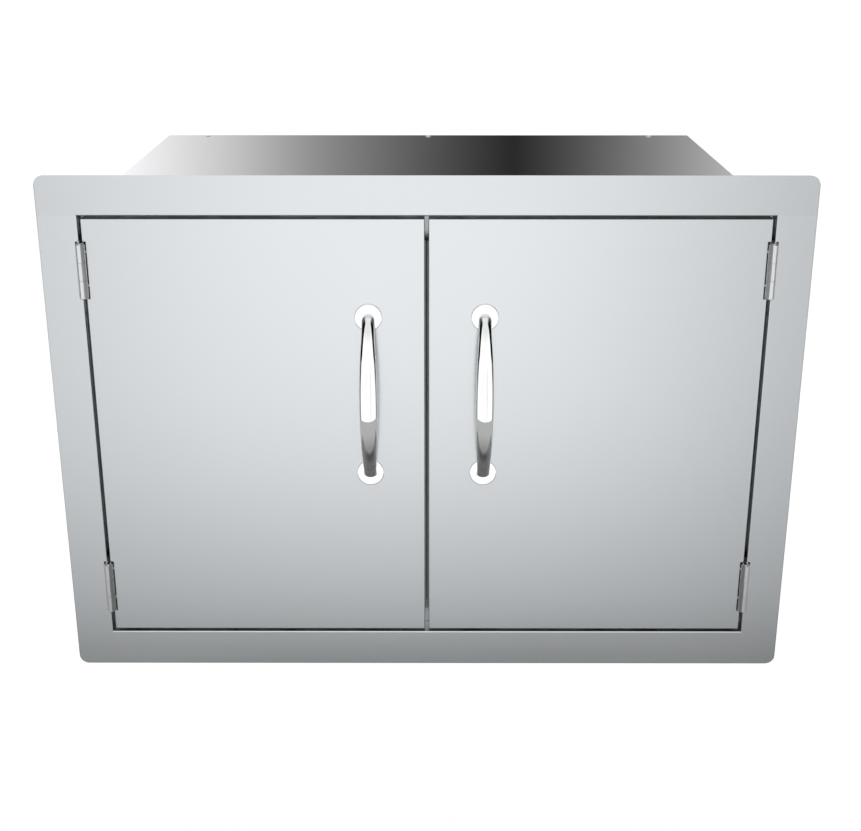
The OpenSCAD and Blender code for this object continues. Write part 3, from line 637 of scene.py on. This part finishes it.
def skinned(name, rings, mirror=False):
    """A closed piece through a row of rings of points, with flat ends."""
    if mirror:
        rings = [[Vector((-p.x, p.y, p.z)) for p in reversed(ring)] for ring in rings]
    n = len(rings[0])
    faces = [tuple(reversed(range(n)))]
    for j in range(len(rings) - 1):
        for i in range(n):
            k = (i + 1) % n
            faces.append((j * n + i, j * n + k, (j + 1) * n + k, (j + 1) * n + i))
    last = (len(rings) - 1) * n
    faces.append(tuple(range(last, last + n)))
    piece = new_piece(name, [p for ring in rings for p in ring], faces)
    face_out(piece.data)
    return piece


RUBBER_DEG = 50
FOOT_HALF = 0.005
FOOT_T = 0.0012
FOOT_SIDE_T = FOOT_T * 0.7
FOOT_SLOPE = 0.0006
BULB_HALF = 0.0033
BULB_START = -25
BULB_ARC = 230
BULB_STEPS = 14
black_rubber = rubber("black rubber", tint=(0.018, 0.018, 0.019), speck=900.0)
seal_low, seal_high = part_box("left_frame_gasket")
seal_x = -seal_low.x - FOOT_HALF
seal_end_x = -seal_high.x
seal_z = seal_high.z - FOOT_HALF
foot_y = seal_high.y
bulb_mid = (seal_low.y + foot_y - FOOT_SIDE_T) / 2
bulb_deep = bulb_mid - seal_low.y
seal_section = [(-FOOT_HALF, foot_y), (-FOOT_HALF, foot_y - FOOT_SIDE_T),
                (-FOOT_HALF + FOOT_SLOPE, foot_y - FOOT_T)]
for i in range(BULB_STEPS + 1):
    a = math.radians(BULB_START + BULB_ARC * i / BULB_STEPS)
    seal_section.append((-BULB_HALF * math.cos(a), bulb_mid - bulb_deep * math.sin(a)))
seal_section += [(FOOT_HALF - FOOT_SLOPE, foot_y - FOOT_T), (FOOT_HALF, foot_y - FOOT_SIDE_T),
                 (FOOT_HALF, foot_y)]
seal_corners = [(-seal_end_x, seal_z, 0, 1), (-seal_x, seal_z, -1, 1),
                (-seal_x, -seal_z, -1, -1), (-seal_end_x, -seal_z, 0, -1)]
for side, flip in (("left", False), ("right", True)):
    rings = [[Vector((x + w * out_x, y, z + w * out_z)) for w, y in seal_section]
             for x, z, out_x, out_z in seal_corners]
    seal = skinned(side + "_frame_seal", rings, flip)
    shade_by_angle(seal.data, RUBBER_DEG)
    finish(seal, black_rubber, "cabinet", [side + "_frame_gasket"])


# Catches: a sheet plate behind the meeting line at the top and bottom, with two ferrite
# magnets each, screwed through the stop lip with cross-recessed pan head screws.
CATCH_X = 0.016
CATCH_SCREW_Z = 0.2204
catch_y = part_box("upper_catch_plate")[0].y
plate_sheet = metal("catch plate sheet", tint=(0.56, 0.57, 0.58), blur=0.32, grain=0.02,
                    pitch=600.0)
for end in ("upper", "lower"):
    eased(end + "_catch_plate", plate_sheet, edge=0.0003)
ferrite = rubber("ferrite", tint=(0.045, 0.043, 0.042), speck=2500.0)
eased("catch_magnets", ferrite, edge=0.0005)
screw_steel = metal("screw steel", tint=(0.70, 0.70, 0.71), blur=0.18, grain=0.03,
                    pitch=1500.0, along=1500.0)
pan_tree = turned_tree("pan head screw", [
    (0.0, 0.0), (0.30, 0.03), (0.5, 0.10), (0.5, 0.86), (0.98, 0.86), (1.0, 0.88),
    (1.0, 0.93), (0.96, 0.965), (0.86, 0.988), (0.62, 0.998), (0.0, 1.0),
], recess=True)
pan_sizes = {"Radius": 0.003, "Bottom": -0.0076, "Top": 0.0016, "Sides": 32,
             "Recess width": 0.0007, "Recess depth": 0.0009}
catch_places = [((sx * CATCH_X, catch_y, sz * CATCH_SCREW_Z), (0, -1, 0))
                for sx in (-1, 1) for sz in (-1, 1)]
set_parts("catch_screw_heads", pan_tree, catch_places, pan_sizes, screw_steel, "cabinet",
          ["catch_screws"])


# Doors: each is a brushed outer sheet folded back on four sides, an inner sheet folded into
# it, and a hat channel behind the handle. The grain runs across like the frame's.
liner_sheet = metal("liner sheet", tint=(0.66, 0.67, 0.68), blur=0.30, grain=0.02,
                    pitch=500.0, smear=0.4)
for side in ("left", "right"):
    door = side + "_door"
    # The outer sheet has the frame's painted shade, darker towards the cabinet's left and right
    # ends.
    finish(nodes[door + "_skin"], brushed)
    finish(nodes[door + "_liner"], liner_sheet)
    finish(nodes[door + "_stiffener"], liner_sheet)


# Meeting seals: a ribbed strip of grey rubber, glued on the facing edge of each door between
# the catches. The two strips fill most of the gap between the doors.
STRIP_T = 0.0018
STRIP_BASE = 0.0006
STRIP_OVER = 0.0035
RIBS = 4
RIB_STEPS = 6
RIB_HALF = 0.46
strip_rubber = rubber("grey rubber", tint=(0.2, 0.206, 0.212), speck=900.0)
door_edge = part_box("left_door_skin")[1].x
strip_low, strip_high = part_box("left_door_meeting_seal")
strip_z = strip_high.z + STRIP_OVER
rib = (strip_high.y - strip_low.y) / RIBS
strip_section = [(0.0, strip_low.y)]
for i in range(RIBS):
    for k in range(RIB_STEPS + 1):
        a = math.pi * k / RIB_STEPS
        strip_section.append((STRIP_BASE + (STRIP_T - STRIP_BASE) * math.sin(a),
                              strip_low.y + rib * (i + 0.5 - RIB_HALF * math.cos(a))))
strip_section.append((0.0, strip_high.y))
for side, flip in (("left", False), ("right", True)):
    rings = [[Vector((door_edge + w, y, z)) for w, y in strip_section]
             for z in (-strip_z, strip_z)]
    strip = skinned(side + "_meeting_strip", rings, flip)
    shade_by_angle(strip.data, RUBBER_DEG)
    finish(strip, strip_rubber, side + "_door", [side + "_door_meeting_seal"])


# Strike plates: small zinc plated steel plates on the back of each door, which the magnets
# pull. Each is held by one flush screw with a cross recess.
STRIKE_Z = 0.207
strike_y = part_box("left_strike_plates")[1].y
zinc = metal("zinc plated steel", tint=(0.72, 0.73, 0.75), blur=0.28, grain=0.04, pitch=60.0,
             along=60.0)
flush_tree = turned_tree("flush screw", [
    (0.0, 0.0), (0.25, 0.03), (0.56, 0.12), (0.56, 0.89), (1.0, 0.985), (0.99, 1.0),
    (0.0, 1.0),
], recess=True)
flush_sizes = {"Radius": 0.0026, "Bottom": -0.009, "Top": 0.0, "Sides": 32,
               "Recess width": 0.0006, "Recess depth": 0.0008}
for side, sx in (("left", -1), ("right", 1)):
    eased(side + "_strike_plates", zinc, edge=0.0003)
    strike_places = [((sx * CATCH_X, strike_y, sz * STRIKE_Z), (0, 1, 0)) for sz in (-1, 1)]
    set_parts(side + "_strike_screw_heads", flush_tree, strike_places, flush_sizes,
              screw_steel, side + "_door", [side + "_strike_screws"])


# Hinges: stainless butt hinges, each leaf rolled round a plain pin and held by two flush
# rivets. The barrel stands proud of the doors and is flat on the door's side, and a rubber
# pad closes the frame's pocket beside it.
BARREL_R = 0.0047
BARREL_BAND = 0.0005
FLAT_MIDDLE = math.radians(45)
FLAT_HALF = math.radians(30)
KNUCKLE_EDGE = 0.0001
RIM_EDGE = 0.0011
PIN_EDGE = 0.0011
RIM_BAND = 0.0008
RIM_BACK_Y = -0.0001
END_BAND = 0.00001
PAD_NEAR = 0.0029
PAD_FAR = 0.00525
PAD_FRONT_Y = -0.0005
PAD_BACK_Y = -0.0001
PAD_EDGE = 0.0001
PAD_END = 0.0018
hinge_steel = metal("hinge stainless", tint=(0.70, 0.71, 0.72), blur=0.27, grain=0.03,
                    pitch=40.0, along=1400.0)
pin_steel = metal("pin steel", tint=(0.5, 0.5, 0.51), blur=0.2, grain=0.03, pitch=1500.0,
                  along=1500.0)
hinge_x, hinge_y = next(joint["pos_m"][:2] for joint in frame["joints"]
                        if joint["name"] == "right_door_swing")


def joined(pieces, name):
    """Several pieces as one object."""
    shape = bmesh.new()
    for piece in pieces:
        shape.from_mesh(piece.data)
        bpy.data.objects.remove(piece)
    mesh = bpy.data.meshes.new(name)
    shape.to_mesh(mesh)
    shape.free()
    one = bpy.data.objects.new(name, mesh)
    bpy.context.scene.collection.objects.link(one)
    return one


def off_axis(p, sx):
    """A point's distance from its hinge's axis, and its turn from the front to the door."""
    x, y = sx * hinge_x - p.x, p.y - hinge_y
    return math.hypot(x, y), math.atan2(sx * x, -y)


def flattened(p, sx):
    """A point of a knuckle, drawn in where the barrel is flat towards the door."""
    radius, turn = off_axis(p, sx)
    if radius < BARREL_R - BARREL_BAND or abs(turn - FLAT_MIDDLE) > FLAT_HALF:
        return p
    shrink = BARREL_R * math.cos(FLAT_HALF) / math.cos(turn - FLAT_MIDDLE) / radius
    return Vector((sx * hinge_x + (p.x - sx * hinge_x) * shrink,
                   hinge_y + (p.y - hinge_y) * shrink, p.z))


def on_rim(p, sx, low, high):
    """Whether a point is on the rim at either end of the barrel."""
    at_end = p.z < low.z + END_BAND or p.z > high.z - END_BAND
    return at_end and off_axis(p, sx)[0] > BARREL_R - RIM_BAND and p.y < RIM_BACK_Y


for side, sx in (("left", -1), ("right", 1)):
    pads = []
    for height in ("upper", "lower"):
        hinge = side + "_" + height
        low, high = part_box(hinge + "_frame_leaf")
        eased(hinge + "_frame_leaf", hinge_steel, edge=KNUCKLE_EDGE,
              first=lambda p: on_rim(p, sx, low, high), first_edge=RIM_EDGE,
              moved=lambda p: flattened(p, sx))
        eased(hinge + "_door_leaf", hinge_steel, edge=KNUCKLE_EDGE,
              moved=lambda p: flattened(p, sx))
        eased(hinge + "_hinge_pin", pin_steel, edge=PIN_EDGE, steps=5)
        near, far = sx * (hinge_x + PAD_NEAR), sx * (hinge_x + PAD_FAR)
        pad_section = [(near, PAD_BACK_Y), (near, PAD_FRONT_Y + PAD_EDGE),
                       (near + sx * PAD_EDGE, PAD_FRONT_Y), (far, PAD_FRONT_Y),
                       (far, PAD_BACK_Y)]
        pads.append(skinned(hinge + "_pad", [[Vector((x, y, z)) for x, y in pad_section]
                                             for z in (low.z - PAD_END, high.z + PAD_END)]))
    finish(joined(pads, side + "_hinge_pads"), black_rubber, "cabinet")
    finish(nodes[side + "_door_leaf_rivets"], screw_steel)
finish(nodes["frame_leaf_rivets"], screw_steel)


# Handles: a mirror polished stainless bow on each door, cast in one piece with the spigots
# that hold its discs. It is an arch that swells in the middle and stands on its two ends.
disc_low, disc_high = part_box("right_handle_rosettes")
bow_low, bow_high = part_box("right_handle_bow")
handle_x = (disc_low.x + disc_high.x) / 2
handle_z = (disc_low.z + disc_high.z) / 2
door_y = disc_high.y
disc_t = disc_high.y - disc_low.y
disc_r = (disc_high.x - disc_low.x) / 2
span = disc_high.z - disc_low.z - 2 * disc_r
rise = disc_low.y - bow_low.y
mid_w = bow_high.x - bow_low.x
end_t = bow_high.z - bow_low.z - span
MID_T = 0.009
TAPER_W = 0.0106
FOOT_W = 0.014
FOOT_FLARE = 12
ARC_FLAT = 2.4
ARC_END = 1.6
BOW_RINGS = 144
BOW_SIDES = 80
SPIGOT_R = 0.004
SPIGOT_SIDES = 32
CENTRE_HOLE = 0.00001
polished = metal("mirror polish", tint=(0.95, 0.952, 0.957), blur=0.02, grain=0.004,
                 pitch=300.0, along=300.0)


def arc_point(a, length, height):
    """A point of an arch of that length and height, out from the discs and along the door."""
    return Vector((0, -height * (1 - abs(math.sin(a)) ** ARC_FLAT) ** (1 / ARC_END),
                   length / 2 * math.sin(a)))


def bow_ring(a):
    """The bow's oval section at a place between its lower end and its upper one."""
    outer = arc_point(a, span + end_t, rise)
    inner = arc_point(a, span - end_t, rise - MID_T)
    s = abs(math.sin(a))
    half_w = (mid_w + (TAPER_W - mid_w) * s ** 2 + (FOOT_W - TAPER_W) * s ** FOOT_FLARE) / 2
    foot = Vector((-handle_x, door_y - disc_t, handle_z))
    return [foot + Vector((half_w * math.cos(t), 0, 0)) + (outer + inner) / 2
            + (outer - inner) / 2 * math.sin(t)
            for t in (math.tau * i / BOW_SIDES for i in range(BOW_SIDES))]


def turned(name, profile, x, z, sides):
    """A round piece that stands on the door: rows of radius and distance from the door."""
    rings = []
    for radius, out in profile:
        radius = max(radius, CENTRE_HOLE)
        rings.append([Vector((x + radius * math.cos(math.tau * i / sides), door_y - out,
                              z + radius * math.sin(math.tau * i / sides)))
                      for i in range(sides)])
    return skinned(name, rings)


spigot_profile = [(0.0, 0.0), (SPIGOT_R, 0.0), (SPIGOT_R, disc_t), (0.0, disc_t)]
for side, flip in (("left", False), ("right", True)):
    sx = 1 if flip else -1
    bow = skinned(side + "_bow_arch", [bow_ring(math.pi * (i / BOW_RINGS - 0.5))
                                       for i in range(BOW_RINGS + 1)], flip)
    spigots = [turned(side + "_spigot", spigot_profile, sx * handle_x, handle_z + s * span / 2,
                      SPIGOT_SIDES) for s in (-1, 1)]
    bow = joined([bow, *spigots], side + "_bow")
    shade_by_angle(bow.data, SHARP_DEG)
    finish(bow, polished, side + "_door", [side + "_handle_bow"])


# Discs: flat polished rounds with an eased edge and a fine groove at the door, clamped
# between the bow's ends and the door.
DISC_SIDES = 96
DISC_PLAY = 0.0001
DISC_EDGE = 0.0009
DISC_EDGE_STEPS = 8
DISC_EDGE_BORDER = 0.0001
DISC_GROOVE = 0.0004
bore_r = SPIGOT_R + DISC_PLAY
face_r = disc_r - DISC_EDGE - DISC_EDGE_BORDER
disc_profile = [(bore_r, 0.0), (disc_r - DISC_GROOVE, 0.0),
                (disc_r - DISC_GROOVE, DISC_GROOVE), (disc_r, DISC_GROOVE)]
for k in range(DISC_EDGE_STEPS + 1):
    a = math.pi / 2 * k / DISC_EDGE_STEPS
    disc_profile.append((disc_r + DISC_EDGE * (math.cos(a) - 1),
                         disc_t + DISC_EDGE * (math.sin(a) - 1)))
disc_profile += [(face_r, disc_t), (bore_r, disc_t)]
for side, sx in (("left", -1), ("right", 1)):
    discs = [turned(side + "_disc", disc_profile, sx * handle_x, handle_z + s * span / 2,
                    DISC_SIDES) for s in (-1, 1)]
    discs = joined(discs, side + "_discs")
    shade_by_angle(discs.data, SHARP_DEG)
    finish(discs, polished, side + "_door", [side + "_handle_rosettes"])


# Handle screws, washers and access plugs: the screws go through the outer sheet into the
# feet from behind, and black plastic plugs close the holes that they are reached through.
plastic = rubber("black plastic", tint=(0.03, 0.03, 0.031), speck=400.0)
for side in ("left", "right"):
    finish(nodes[side + "_handle_screws"], screw_steel)
    finish(nodes[side + "_handle_washers"], zinc)
    eased(side + "_access_plugs", plastic, edge=0.0004)

low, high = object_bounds()
